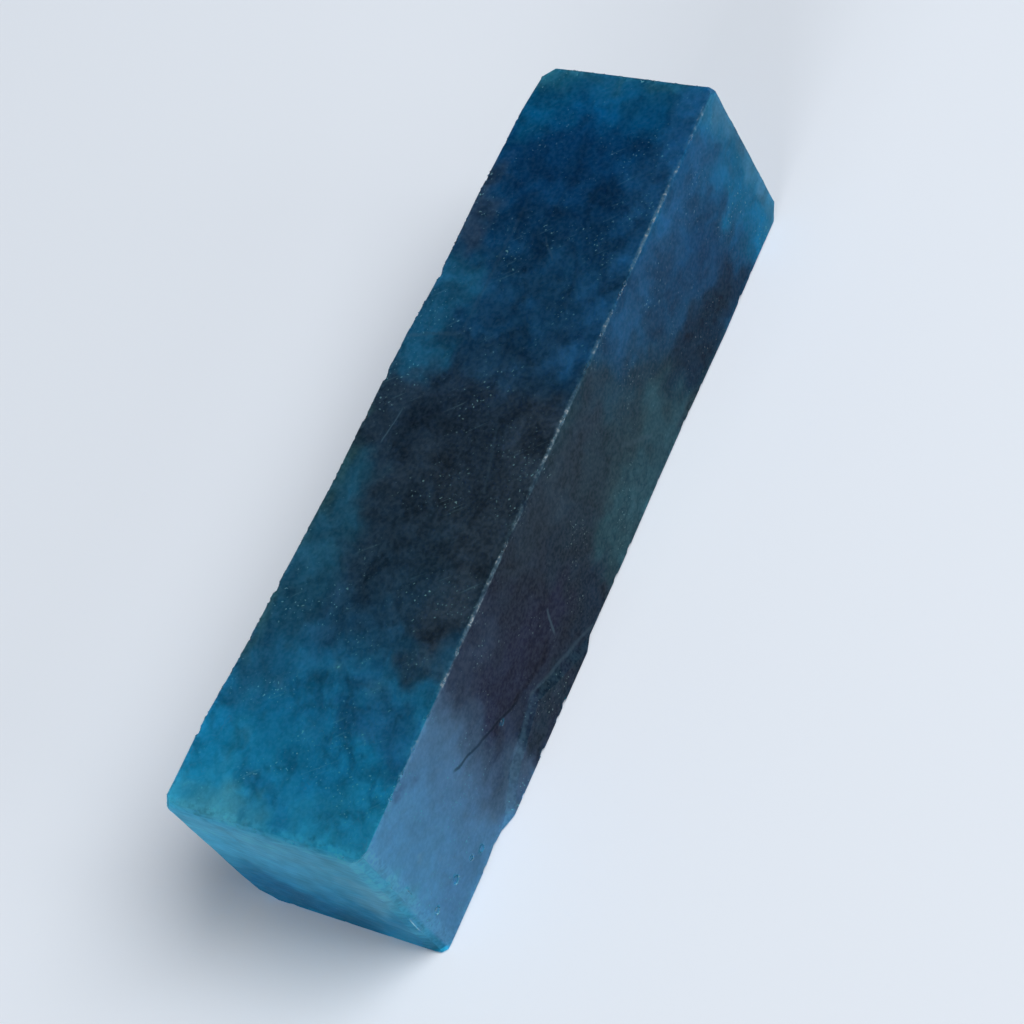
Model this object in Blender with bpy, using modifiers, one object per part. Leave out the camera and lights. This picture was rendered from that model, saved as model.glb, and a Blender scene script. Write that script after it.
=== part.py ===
"""Aquamarine crystal: a bar of cloudy blue-green beryl, sawn square and ground, lying on one long face.

Metres, +Z up. The origin is on the resting face, under the middle of the bar. +X runs along the bar from
its rubbed end to its sharp end, and the side that faces -Y carries the saw spur.
"""
import math
import random

import bmesh
import bpy
import numpy as np
from mathutils import Euler, Vector
from mathutils.bvhtree import BVHTree

NAME = "aquamarine_crystal"
MM = 0.001

# Driving dimensions of the sawn bar, at the middle of each face.
LENGTH = 104.0 * MM
WIDTH = 25.5 * MM
HEIGHT = 25.4 * MM
SAW_WASTE = 4.0 * MM          # rough stone outside every saw cut

# Saw cuts: the way each face looks, a point on it, and how many degrees it leans toward +X, +Y and +Z.
# The blade wandered, so no two faces are quite square or parallel.
SAW_CUTS = {
    "base": ((0, 0, -1), (0, 0, 0), (0, 0, 0)),
    "top": ((0, 0, 1), (0, 0, HEIGHT), (-0.75, 0.27, 0)),
    "spur_side": ((0, -1, 0), (0, -WIDTH / 2, HEIGHT / 2), (1.11, 0, -1.61)),
    "plain_side": ((0, 1, 0), (0, WIDTH / 2, HEIGHT / 2), (1.16, 0, -1.78)),
    "rubbed_end": ((-1, 0, 0), (-LENGTH / 2, 0, HEIGHT / 2), (0, -0.29, 0.98)),
    "sharp_end": ((1, 0, 0), (LENGTH / 2, 0, HEIGHT / 2), (0, -0.24, 1.12)),
}
CUT_NUMBERS = {name: number for number, name in enumerate(SAW_CUTS, start=1)}
ENDS = ("rubbed_end", "sharp_end")
SIDES = ("spur_side", "plain_side")

# Stations along the bar, in mm: how far the spur side's lower edge and the plain side's upper edge
# stand out there, against the straight line of the saw cuts.
EDGE_STATIONS = (
    (-46.0, 0.0, 0.15),
    (-41.0, 0.0, 0.3),
    (-38.4, -0.2, 0.25),
    (-36.0, 0.0, 0.15),
    (-33.0, 0.0, 0.0),
    (-24.0, 0.0, -0.1),
    (-9.0, 0.1, -0.3),
    (0.0, 0.15, 0.0),
    (12.0, 0.0, 0.2),
    (20.0, 0.0, 0.0),
    (33.0, 0.2, 0.4),
    (45.0, 0.0, 0.5),
)
WANDER_HEIGHT = 7.0 * MM      # above this the lower edge's wander has died out
RUBBED_END_CROWN = 0.15 * MM  # the rubbed end bulges this much at WANDER_HEIGHT
STATION_REACH = 0.01 * MM     # how near a vertex is to a station to belong to it

# How wide a rounding wear has left on each edge.
EDGE_WEAR = {
    ("top", "spur_side"): 0.3 * MM,
    ("top", "plain_side"): 0.4 * MM,
    ("base", "spur_side"): 0.4 * MM,
    ("base", "plain_side"): 0.6 * MM,
    ("top", "rubbed_end"): 1.2 * MM,
    ("base", "rubbed_end"): 0.35 * MM,
    ("spur_side", "rubbed_end"): 2.2 * MM,
    ("plain_side", "rubbed_end"): 0.7 * MM,
    ("top", "sharp_end"): 0.4 * MM,
    ("base", "sharp_end"): 0.5 * MM,
    ("spur_side", "sharp_end"): 0.4 * MM,
    ("plain_side", "sharp_end"): 0.5 * MM,
}
WIDEST_WEAR = max(EDGE_WEAR.values())
WEAR_SEGMENTS = 3
ROUNDING_DEPTH_RATIO = math.sqrt(2) - 1  # how far a square corner's rounding lies inside it, over its width

# Corners knocked off flat, as the three faces that met there and the leg of the cut.
CORNER_CHIPS = (
    (("rubbed_end", "plain_side", "base"), 2.8 * MM),
    (("rubbed_end", "plain_side", "top"), 1.6 * MM),
    (("rubbed_end", "spur_side", "base"), 1.1 * MM),
    (("sharp_end", "spur_side", "base"), 2.2 * MM),
    (("sharp_end", "plain_side", "top"), 1.7 * MM),
    (("sharp_end", "spur_side", "top"), 1.2 * MM),
)
CORNER_CUTTER_SIZE = 9.0 * MM

# The saw spur: where the blade broke out of the spur side's lower edge it left a low three-cornered
# patch of stone standing. Its foot's outline, in mm along the bar and above the base:
SPUR_FOOT = ((-36.0, 0.0), (-30.0, 4.1), (-21.6, 6.8), (-10.0, 0.0))
SPUR_HEIGHT = 0.6 * MM        # how far it stands out
SPUR_RIM = 1.0 * MM           # width of the slope round it
SPUR_ROOT = 2.0 * MM          # how deep its solid reaches into the bar, to join it
SPUR_CLEARANCE = 0.1 * MM     # how high its underside lies above the base

# Pits on the spur side, in mm: place along the bar, height above the base, and width.
PITS = (
    (-39.6, 2.6, 0.9),
    (-41.4, 3.9, 0.6),
    (-44.7, 5.1, 1.0),
    (-49.0, 6.1, 0.8),
    (-26.9, 10.2, 0.7),
)
PIT_DEPTH_RATIO = 0.3         # depth over width

# Nicks along the edges: the two faces, how many, and the least and greatest width in mm.
NICKED_EDGES = (
    (("top", "plain_side"), 13, 0.9, 1.9),
    (("top", "spur_side"), 7, 0.5, 0.9),
    (("base", "spur_side"), 8, 0.9, 1.6),
    (("base", "plain_side"), 7, 0.9, 1.7),
    (("base", "rubbed_end"), 3, 1.0, 1.8),
    (("top", "sharp_end"), 2, 0.6, 1.0),
)
NICK_DEPTH_RATIO = 0.18       # depth into the rounded edge over width
NICK_MARGIN = 0.06            # share of an edge left whole beside each corner
NICK_SEED = 11


def remove_all_objects():
    for old in list(bpy.data.objects):
        bpy.data.objects.remove(old)


def new_collection(name):
    collection = bpy.data.collections.new(name)
    bpy.context.scene.collection.children.link(collection)
    return collection


def move_to_collection(obj, collection):
    for old in list(obj.users_collection):
        old.objects.unlink(obj)
    collection.objects.link(obj)


def cut_plane(cut_name):
    """A saw cut's point and its outward normal."""
    outward, point, lean_degrees = SAW_CUTS[cut_name]
    lean = Vector([math.tan(math.radians(angle)) for angle in lean_degrees])
    return Vector(point), (Vector(outward) + lean).normalized()


def corner_of(*cut_names):
    """The point where three saw cuts meet."""
    points, normals = zip(*[cut_plane(name) for name in cut_names])
    offsets = [point.dot(normal) for point, normal in zip(points, normals)]
    return Vector(np.linalg.solve(np.array(normals), np.array(offsets)))


def everything_in(mesh):
    return mesh.verts[:] + mesh.edges[:] + mesh.faces[:]


def trim(mesh, point, normal):
    """Saw off all that lies outside a plane, close the solid there and return the new faces."""
    bmesh.ops.bisect_plane(
        mesh, geom=everything_in(mesh), plane_co=point, plane_no=normal, clear_outer=True)
    open_edges = [edge for edge in mesh.edges if edge.is_boundary]
    return bmesh.ops.contextual_create(mesh, geom=open_edges)["faces"]


def saw(bar, cut_layer, cut_name):
    for face in trim(bar, *cut_plane(cut_name)):
        face[cut_layer] = CUT_NUMBERS[cut_name]


def score(bar, point, normal):
    """Mark a line right round the bar and remove nothing."""
    bmesh.ops.bisect_plane(bar, geom=everything_in(bar), plane_co=point, plane_no=normal)


def touches(element, cut_layer, *cut_names):
    """Whether a vertex or an edge lies on all the named faces."""
    numbers = {face[cut_layer] for face in element.link_faces}
    return all(CUT_NUMBERS[name] in numbers for name in cut_names)


def make_edges_uneven(bar, cut_layer):
    """Let two long edges wander in and out at the stations, and crown the rubbed end."""
    for station, _, _ in EDGE_STATIONS:
        score(bar, (station * MM, 0, 0), (1, 0, 0))
    score(bar, (0, 0, WANDER_HEIGHT), (0, 0, 1))
    for vertex in bar.verts:
        for station, lower_out, upper_out in EDGE_STATIONS:
            if abs(vertex.co.x - station * MM) > STATION_REACH:
                continue
            if touches(vertex, cut_layer, "base", "spur_side"):
                vertex.co.y -= lower_out * MM
            if touches(vertex, cut_layer, "top", "plain_side"):
                vertex.co.y += upper_out * MM
        at_crown = abs(vertex.co.z - WANDER_HEIGHT) < STATION_REACH
        if at_crown and touches(vertex, cut_layer, "rubbed_end"):
            vertex.co.x -= RUBBED_END_CROWN


def weigh_edges(bar, cut_layer):
    """Mark each worn edge with its share of the widest rounding."""
    weights = bar.edges.layers.float.new("bevel_weight_edge")
    for edge in bar.edges:
        for pair, wear in EDGE_WEAR.items():
            if touches(edge, cut_layer, *pair):
                edge[weights] = wear / WIDEST_WEAR


def sawn_bar():
    """The bar as it left the saw, its edges still sharp, with a Bevel that rounds them."""
    rough = [side + 2 * SAW_WASTE for side in (LENGTH, WIDTH, HEIGHT)]
    bpy.ops.mesh.primitive_cube_add(size=1, location=(0, 0, HEIGHT / 2), scale=rough)
    obj = bpy.context.object
    bpy.ops.object.transform_apply(location=True, rotation=True, scale=True)
    bar = bmesh.new()
    bar.from_mesh(obj.data)
    cut_layer = bar.faces.layers.int.new("saw_cut")
    for cut_name in SAW_CUTS:
        saw(bar, cut_layer, cut_name)
    make_edges_uneven(bar, cut_layer)
    weigh_edges(bar, cut_layer)
    bar.to_mesh(obj.data)
    bar.free()
    wear = obj.modifiers.new("edge wear", "BEVEL")
    wear.limit_method = "WEIGHT"
    wear.width = WIDEST_WEAR
    wear.segments = WEAR_SEGMENTS
    wear.use_clamp_overlap = False
    return obj


def keep_as_helper(name, helpers):
    """Name the newest object and put it with the solids that only cut the bar or join it."""
    helper = bpy.context.object
    helper.name = name
    helper.hide_render = True
    helper.display_type = "WIRE"
    move_to_collection(helper, helpers)
    return helper


def add_corner_chip(cut_names, leg, cutters):
    """A cube set face-on to a corner, which takes it off flat."""
    outward = sum((cut_plane(name)[1] for name in cut_names), Vector()).normalized()
    inside = leg / math.sqrt(3)  # a cut with three equal legs passes this far inside the corner
    middle = corner_of(*cut_names) + outward * (CORNER_CUTTER_SIZE / 2 - inside)
    turn = outward.to_track_quat("Z", "Y").to_euler()
    bpy.ops.mesh.primitive_cube_add(size=CORNER_CUTTER_SIZE, location=middle, rotation=turn)
    keep_as_helper("corner_chip_" + "_".join(cut_names), cutters)


def spur_wall(start, stop):
    """The sloping plane that climbs from one stretch of the spur's foot to its crest."""
    _, outward = cut_plane("spur_side")
    across = outward.cross(stop - start).normalized()
    return start, (across * SPUR_HEIGHT + outward * SPUR_RIM).normalized()


def add_spur(helpers):
    """The spur's solid: a block rooted in the bar, trimmed by its crest, its sloping walls and its underside."""
    side_point, outward = cut_plane("spur_side")
    feet = []
    for along, height in SPUR_FOOT:
        foot = Vector((along * MM, side_point.y, height * MM))
        feet.append(foot - outward * (foot - side_point).dot(outward))
    size = Vector((feet[-1].x - feet[0].x, 2 * SPUR_ROOT, 2 * max(foot.z for foot in feet)))
    middle = (feet[0] + feet[-1]) / 2
    bpy.ops.mesh.primitive_cube_add(size=1, location=middle, scale=size)
    spur = keep_as_helper("saw_spur", helpers)
    bpy.ops.object.transform_apply(location=True, rotation=True, scale=True)
    solid = bmesh.new()
    solid.from_mesh(spur.data)
    trim(solid, side_point + outward * SPUR_HEIGHT, outward)
    trim(solid, (0, 0, SPUR_CLEARANCE), (0, 0, -1))
    for start, stop in zip(feet, feet[1:]):
        trim(solid, *spur_wall(start, stop))
    solid.to_mesh(spur.data)
    solid.free()
    return spur


def add_bite(name, point, outward, width, depth, turn, cutters):
    """A faceted ball set over a surface so that it bites a hollow of this width and depth."""
    radius = (width ** 2 / 4 + depth ** 2) / (2 * depth)
    bpy.ops.mesh.primitive_ico_sphere_add(
        subdivisions=2, radius=radius, location=point + outward * (radius - depth), rotation=turn)
    keep_as_helper(name, cutters)


def random_turn(chance):
    return Euler([chance.uniform(0, math.tau) for _ in range(3)])


def edge_point(bar, cut_layer, pair, share):
    """The point at this share of the way along a worn edge, with the edge's own wander."""
    axis = 1 if set(pair) & set(ENDS) else 0
    on_edge = {tuple(vertex.co) for vertex in bar.verts if touches(vertex, cut_layer, *pair)}
    walk = np.array(sorted(on_edge, key=lambda point: point[axis]))
    place = np.interp(share, (0, 1), (walk[0, axis], walk[-1, axis]))
    return Vector([np.interp(place, walk[:, axis], walk[:, k]) for k in range(3)])


def add_nicks(bar, cut_layer, cutters):
    chance = random.Random(NICK_SEED)
    for pair, count, least, greatest in NICKED_EDGES:
        outward = (cut_plane(pair[0])[1] + cut_plane(pair[1])[1]).normalized()
        rounding = EDGE_WEAR[pair] * ROUNDING_DEPTH_RATIO
        for number in range(count):
            slot = (number + chance.uniform(0.15, 0.85)) / count
            point = edge_point(bar, cut_layer, pair, NICK_MARGIN + slot * (1 - 2 * NICK_MARGIN))
            width = chance.uniform(least, greatest) * MM
            name = f"nick_{pair[0]}_{pair[1]}_{number + 1}"
            add_bite(name, point - outward * rounding, outward, width, width * NICK_DEPTH_RATIO,
                     random_turn(chance), cutters)


def add_pits(bar, cutters):
    chance = random.Random(NICK_SEED)
    _, outward = cut_plane("spur_side")
    skin = BVHTree.FromBMesh(bar)
    for number, (along, height, width) in enumerate(PITS, start=1):
        outside = Vector((along * MM, -WIDTH, height * MM))
        point = skin.ray_cast(outside, -outward)[0]
        add_bite(f"pit_{number}", point, outward, width * MM, width * MM * PIT_DEPTH_RATIO,
                 random_turn(chance), cutters)


def join_to(bar_object, spur):
    union = bar_object.modifiers.new("saw spur", "BOOLEAN")
    union.operation = "UNION"
    union.object = spur
    union.solver = "EXACT"


def cut_with(bar_object, cutters):
    cuts = bar_object.modifiers.new("corner chips, nicks and pits", "BOOLEAN")
    cuts.operation = "DIFFERENCE"
    cuts.operand_type = "COLLECTION"
    cuts.collection = cutters
    cuts.solver = "EXACT"


def beryl():
    """Cloudy blue-green beryl with a ground skin."""
    material = bpy.data.materials.new("cloudy_beryl")
    material.use_nodes = True
    shader = material.node_tree.nodes["Principled BSDF"]
    shader.inputs["Base Color"].default_value = (0.02, 0.12, 0.19, 1)
    shader.inputs["Metallic"].default_value = 0.0
    shader.inputs["Roughness"].default_value = 0.4
    shader.inputs["IOR"].default_value = 1.577
    shader.inputs["Transmission Weight"].default_value = 0.6
    return material


remove_all_objects()
parts = new_collection(NAME)
joiners = new_collection("joiners")
cutters = new_collection("cutters")

crystal = sawn_bar()
crystal.name = NAME
crystal.data.name = NAME
crystal.data.materials.append(beryl())
move_to_collection(crystal, parts)
join_to(crystal, add_spur(joiners))

sharp_bar = bmesh.new()
sharp_bar.from_mesh(crystal.data)
saw_layer = sharp_bar.faces.layers.int["saw_cut"]
for corner_names, chip_leg in CORNER_CHIPS:
    add_corner_chip(corner_names, chip_leg, cutters)
add_nicks(sharp_bar, saw_layer, cutters)
add_pits(sharp_bar, cutters)
sharp_bar.free()
cut_with(crystal, cutters)
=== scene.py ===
# %% [markdown]
# # A sawn bar of aquamarine
#
# The real thing is one piece of cloudy blue-green beryl. A gem cutter sawed it square with a diamond
# blade, ground its long faces by hand, and it has since rubbed against other stones, so its edges are
# worn and nicked. It lies on one long face.
#
# The bar is made here as the cutter made it: a block is sawn six times, its edges are worn round, its
# corners chipped and nicked, and last its skin gets the unevenness and the colours of the stone.

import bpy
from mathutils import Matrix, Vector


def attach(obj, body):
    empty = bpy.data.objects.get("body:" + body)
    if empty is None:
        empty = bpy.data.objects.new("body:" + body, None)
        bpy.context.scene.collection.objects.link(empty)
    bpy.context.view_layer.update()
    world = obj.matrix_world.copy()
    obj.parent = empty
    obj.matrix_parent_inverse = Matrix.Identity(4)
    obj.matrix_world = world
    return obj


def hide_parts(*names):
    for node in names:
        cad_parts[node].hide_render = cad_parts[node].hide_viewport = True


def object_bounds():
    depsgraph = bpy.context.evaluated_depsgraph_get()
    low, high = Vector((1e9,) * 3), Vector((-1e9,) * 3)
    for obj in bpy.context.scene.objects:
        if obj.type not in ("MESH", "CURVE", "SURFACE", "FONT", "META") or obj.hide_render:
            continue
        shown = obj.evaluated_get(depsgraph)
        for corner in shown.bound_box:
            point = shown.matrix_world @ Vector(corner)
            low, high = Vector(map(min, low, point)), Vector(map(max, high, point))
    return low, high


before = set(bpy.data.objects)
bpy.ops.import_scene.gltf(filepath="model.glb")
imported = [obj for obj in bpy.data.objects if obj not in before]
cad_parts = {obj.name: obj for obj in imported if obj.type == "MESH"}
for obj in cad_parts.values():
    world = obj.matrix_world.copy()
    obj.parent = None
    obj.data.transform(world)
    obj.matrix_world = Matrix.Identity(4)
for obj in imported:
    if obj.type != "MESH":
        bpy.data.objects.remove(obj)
cad_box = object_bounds()
CAD_NODE = "aquamarine_crystal"
print("CAD box in mm:", [[round(side * 1000, 2) for side in corner] for corner in cad_box])

# %% Modules and units
import math
import random

import bpy
import numpy as np
from mathutils import Euler, Quaternion, Vector, noise
from mathutils.kdtree import KDTree

MM = 0.001

# %% [markdown]
# ## The saw cuts
#
# A sawn bar is never quite square: the blade wandered, and each face leans by up to two degrees. The
# faces could be set by the eight corners of a cube, but then a corner that moves warps three faces.
# Six planes are used instead, because a saw cut is a plane, and a plane keeps its face flat.

# %% The six saw cuts: which way each looks, a point on it, and its lean in degrees toward X, Y and Z
LENGTH = 104.0 * MM
WIDTH = 25.5 * MM
HEIGHT = 25.4 * MM
SAW_WASTE = 4.0 * MM
SAW_CUTS = {
    "base": ((0, 0, -1), (0, 0, 0), (0, 0, 0)),
    "top": ((0, 0, 1), (0, 0, HEIGHT), (-0.75, 0.27, 0)),
    "spur_side": ((0, -1, 0), (0, -WIDTH / 2, HEIGHT / 2), (1.11, 0, -1.61)),
    "plain_side": ((0, 1, 0), (0, WIDTH / 2, HEIGHT / 2), (1.16, 0, -1.78)),
    "rubbed_end": ((-1, 0, 0), (-LENGTH / 2, 0, HEIGHT / 2), (0, -0.29, 0.98)),
    "sharp_end": ((1, 0, 0), (LENGTH / 2, 0, HEIGHT / 2), (0, -0.24, 1.12)),
}


def cut_plane(cut):
    """A saw cut's point and the way it faces, as a unit vector."""
    outward, point, lean_degrees = SAW_CUTS[cut]
    lean = Vector([math.tan(math.radians(angle)) for angle in lean_degrees])
    return Vector(point), (Vector(outward) + lean).normalized()


def corner_of(cuts):
    """The point where three saw cuts meet."""
    points, normals = zip(*[cut_plane(cut) for cut in cuts])
    offsets = [point.dot(normal) for point, normal in zip(points, normals)]
    return Vector(np.linalg.solve(np.array(normals), np.array(offsets)))


CUT_NAMES = list(SAW_CUTS)
CUT_NORMALS = np.array([cut_plane(cut)[1] for cut in CUT_NAMES])
print("saw cuts face:", {cut: [round(x, 3) for x in cut_plane(cut)[1]] for cut in CUT_NAMES})


# %% Helpers for working as by hand
def deselect_objects():
    bpy.ops.object.select_all(action="DESELECT")


def take_up(piece):
    """Make a piece the only one selected, and the active one."""
    deselect_objects()
    piece.select_set(True)
    bpy.context.view_layer.objects.active = piece


def add_block(name, middle, size):
    deselect_objects()
    bpy.ops.mesh.primitive_cube_add(size=1, location=middle, scale=size)
    block = bpy.context.object
    block.name = name
    bpy.ops.object.transform_apply(location=True, rotation=True, scale=True)
    return block


def cut_all(piece, planes, keep_outside=True):
    """Bisect a piece by each plane in turn. A cut that keeps its outside only scores a line."""
    take_up(piece)
    bpy.ops.object.mode_set(mode="EDIT")
    for point, outward in planes:
        bpy.ops.mesh.select_all(action="SELECT")
        bpy.ops.mesh.bisect(
            plane_co=point, plane_no=outward, use_fill=not keep_outside, clear_outer=not keep_outside)
    bpy.ops.object.mode_set(mode="OBJECT")


def apply_modifiers(piece):
    take_up(piece)
    for modifier in list(piece.modifiers):
        bpy.ops.object.modifier_apply(modifier=modifier.name)


# %% Saw the block square
rough_size = [side + 2 * SAW_WASTE for side in (LENGTH, WIDTH, HEIGHT)]
bar = add_block("beryl_bar", (0, 0, HEIGHT / 2), rough_size)
cut_all(bar, [cut_plane(cut) for cut in CUT_NAMES], keep_outside=False)
print("sawn bar:", len(bar.data.polygons), "faces,", [round(side / MM, 1) for side in bar.dimensions], "mm")

# %% [markdown]
# ## Edges that wander
#
# Two of the long edges are not straight: the stone broke away from the blade here and there, and
# grinding never reached the hollows. A line is scored round the bar at each station, and the corner
# points on the edge are pushed in or out there.

# %% Score the stations and push their points
EDGE_STATIONS = (
    (-46.0, 0.0, 0.15),
    (-41.0, 0.0, 0.3),
    (-38.4, -0.2, 0.25),
    (-36.0, 0.0, 0.15),
    (-33.0, 0.0, 0.0),
    (-24.0, 0.0, -0.1),
    (-9.0, 0.1, -0.3),
    (0.0, 0.15, 0.0),
    (12.0, 0.0, 0.2),
    (20.0, 0.0, 0.0),
    (33.0, 0.2, 0.4),
    (45.0, 0.0, 0.5),
)
WANDER_HEIGHT = 7.0 * MM
RUBBED_END_CROWN = 0.15 * MM
NEAR_ENOUGH = 0.01 * MM


def on_cut(place, cut):
    point, outward = cut_plane(cut)
    return abs((place - point).dot(outward)) < NEAR_ENOUGH


def push_points(piece, belongs, shift):
    """Select the points that belong, by their place, and move them."""
    take_up(piece)
    bpy.ops.object.mode_set(mode="EDIT")
    bpy.ops.mesh.select_mode(type="VERT")
    bpy.ops.mesh.select_all(action="DESELECT")
    bpy.ops.object.mode_set(mode="OBJECT")
    for point in piece.data.vertices:
        point.select = belongs(point.co)
    bpy.ops.object.mode_set(mode="EDIT")
    bpy.ops.transform.translate(value=shift)
    bpy.ops.object.mode_set(mode="OBJECT")


def on_edge_at(along, *cuts):
    """A test that picks the points at this station, in mm, that lie on all of these cuts."""
    def belongs(place):
        return abs(place.x - along * MM) < NEAR_ENOUGH and all(on_cut(place, cut) for cut in cuts)
    return belongs


cut_all(bar, [((along * MM, 0, 0), (1, 0, 0)) for along, _, _ in EDGE_STATIONS])
cut_all(bar, [((0, 0, WANDER_HEIGHT), (0, 0, 1))])
for along, lower_out, upper_out in EDGE_STATIONS:
    push_points(bar, on_edge_at(along, "base", "spur_side"), (0, -lower_out * MM, 0))
    push_points(bar, on_edge_at(along, "top", "plain_side"), (0, upper_out * MM, 0))
push_points(bar, lambda place: abs(place.z - WANDER_HEIGHT) < NEAR_ENOUGH
            and on_cut(place, "rubbed_end"), (-RUBBED_END_CROWN, 0, 0))
print("after the stations:", len(bar.data.vertices), "points")

# %% [markdown]
# ## Worn edges
#
# Handling has rounded each edge by its own amount: barely along the top, and most at the end that
# stood on the bench. One Bevel with a weight on each edge rounds them all at once, so that the
# corners come out whole. Bevels made one edge after another would leave steps there.

# %% How widely each edge is worn
EDGE_WEAR = {
    ("top", "spur_side"): 0.3 * MM,
    ("top", "plain_side"): 0.4 * MM,
    ("base", "spur_side"): 0.4 * MM,
    ("base", "plain_side"): 0.6 * MM,
    ("top", "rubbed_end"): 1.2 * MM,
    ("base", "rubbed_end"): 0.35 * MM,
    ("spur_side", "rubbed_end"): 2.2 * MM,
    ("plain_side", "rubbed_end"): 0.7 * MM,
    ("top", "sharp_end"): 0.4 * MM,
    ("base", "sharp_end"): 0.5 * MM,
    ("spur_side", "sharp_end"): 0.4 * MM,
    ("plain_side", "sharp_end"): 0.5 * MM,
}
WIDEST_WEAR = max(EDGE_WEAR.values())
WEAR_SEGMENTS = 3


def cut_of_faces(mesh):
    """For each face, the number of the saw cut that it faces most nearly, and how nearly (a cosine)."""
    normals = np.zeros(len(mesh.polygons) * 3)
    mesh.polygons.foreach_get("normal", normals)
    likeness = normals.reshape(-1, 3) @ CUT_NORMALS.T
    return likeness.argmax(axis=1), likeness.max(axis=1)


# %% Weigh the edges, keep where the sharp edges ran, and round them
def edge_keys_between(piece):
    """The edges that lie between each worn pair of saw cuts."""
    mesh = piece.data
    cuts, _ = cut_of_faces(mesh)
    cuts_at_edge = {key: set() for key in mesh.edge_keys}
    for face in mesh.polygons:
        for key in face.edge_keys:
            cuts_at_edge[key].add(CUT_NAMES[cuts[face.index]])
    return {pair: [key for key, cuts in cuts_at_edge.items() if cuts == set(pair)] for pair in EDGE_WEAR}


def ordered_points(piece, keys, axis):
    places = {tuple(piece.data.vertices[number].co) for key in keys for number in key}
    return np.array(sorted(places, key=lambda place: place[axis]))


worn_edges = edge_keys_between(bar)
edge_paths = {}
for pair, keys in worn_edges.items():
    axis = 1 if set(pair) & {"rubbed_end", "sharp_end"} else 0
    if not set(pair) <= {"spur_side", "plain_side", "rubbed_end", "sharp_end"}:
        edge_paths[pair] = (ordered_points(bar, keys, axis), axis)
weight_of = {key: EDGE_WEAR[pair] / WIDEST_WEAR for pair, keys in worn_edges.items() for key in keys}
weights = bar.data.attributes.new("bevel_weight_edge", "FLOAT", "EDGE")
for edge in bar.data.edges:
    weights.data[edge.index].value = weight_of.get(edge.key, 0.0)
wear = bar.modifiers.new("edge wear", "BEVEL")
wear.limit_method = "WEIGHT"
wear.width = WIDEST_WEAR
wear.segments = WEAR_SEGMENTS
wear.use_clamp_overlap = False
apply_modifiers(bar)
print("after the rounding:", len(bar.data.polygons), "faces")

# %% [markdown]
# ## The saw spur
#
# Near the rubbed end the blade broke out of the lower edge and left a low three-cornered patch of
# stone standing on the side. It could be painted on with bump, but its rim catches the light and
# shows from below, so it is a block of its own, trimmed to its crest and its sloping walls, and
# then joined to the bar.

# %% Trim the spur from a block and join it
SPUR_FOOT = ((-36.0, 0.0), (-30.0, 4.1), (-21.6, 6.8), (-10.0, 0.0))
SPUR_HEIGHT = 0.6 * MM
SPUR_RIM = 1.0 * MM
SPUR_ROOT = 2.0 * MM
SPUR_CLEARANCE = 0.1 * MM
side_point, side_outward = cut_plane("spur_side")


def on_spur_side(along, height):
    """The point of the spur side's saw cut at this place along the bar and above the base, in mm."""
    place = Vector((along * MM, side_point.y, height * MM))
    return place - side_outward * (place - side_point).dot(side_outward)


def sloping_wall(start, stop):
    across = side_outward.cross(stop - start).normalized()
    return start, (across * SPUR_HEIGHT + side_outward * SPUR_RIM).normalized()


feet = [on_spur_side(along, height) for along, height in SPUR_FOOT]
spur_size = (feet[-1].x - feet[0].x, 2 * SPUR_ROOT, 2 * max(foot.z for foot in feet))
spur = add_block("saw_spur", (feet[0] + feet[-1]) / 2, spur_size)
crest = (side_point + side_outward * SPUR_HEIGHT, side_outward)
underside = ((0, 0, SPUR_CLEARANCE), (0, 0, -1))
walls = [sloping_wall(start, stop) for start, stop in zip(feet, feet[1:])]
cut_all(spur, [crest, underside] + walls, keep_outside=False)
print("spur:", len(spur.data.polygons), "faces")


def join_solid(piece, other):
    union = piece.modifiers.new("join", "BOOLEAN")
    union.operation = "UNION"
    union.solver = "EXACT"
    union.object = other
    apply_modifiers(piece)
    bpy.data.objects.remove(other)


join_solid(bar, spur)
print("bar with its spur:", len(bar.data.polygons), "faces")

# %% [markdown]
# ## Chipped corners
#
# A knock takes a corner off along one flat break. A cube set face-on to the corner takes it off
# the same way.

# %% Knock the corners off
CORNER_CHIPS = (
    (("rubbed_end", "plain_side", "base"), 2.8 * MM),
    (("rubbed_end", "plain_side", "top"), 1.6 * MM),
    (("rubbed_end", "spur_side", "base"), 1.1 * MM),
    (("sharp_end", "spur_side", "base"), 2.2 * MM),
    (("sharp_end", "plain_side", "top"), 1.7 * MM),
    (("sharp_end", "spur_side", "top"), 1.2 * MM),
)
CHIP_CUTTER_SIZE = 9.0 * MM


def cut_away(piece, cutters):
    """Take a list of solids out of a piece, and put the solids away."""
    tray = bpy.data.collections.new("cutters")
    bpy.context.scene.collection.children.link(tray)
    for cutter in cutters:
        tray.objects.link(cutter)
    bites = piece.modifiers.new("bites", "BOOLEAN")
    bites.operation = "DIFFERENCE"
    bites.solver = "EXACT"
    bites.operand_type = "COLLECTION"
    bites.collection = tray
    apply_modifiers(piece)
    for cutter in cutters:
        bpy.data.objects.remove(cutter)
    bpy.data.collections.remove(tray)


chip_cutters = []
for cuts, leg in CORNER_CHIPS:
    outward = sum((cut_plane(cut)[1] for cut in cuts), Vector()).normalized()
    inside = leg / math.sqrt(3)
    middle = corner_of(cuts) + outward * (CHIP_CUTTER_SIZE / 2 - inside)
    deselect_objects()
    bpy.ops.mesh.primitive_cube_add(
        size=CHIP_CUTTER_SIZE, location=middle, rotation=outward.to_track_quat("Z", "Y").to_euler())
    chip_cutters.append(bpy.context.object)
cut_away(bar, chip_cutters)
print("chipped bar:", len(bar.data.polygons), "faces")

# %% [markdown]
# ## A grid to work on
#
# The unevenness of the ground faces needs points to move, and the big flat faces have none. The bar
# is scored crosswise into squares of about 1 mm, which leaves its shape alone. A remesh would do it
# in one step, but it would also melt the crisp edges.

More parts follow.
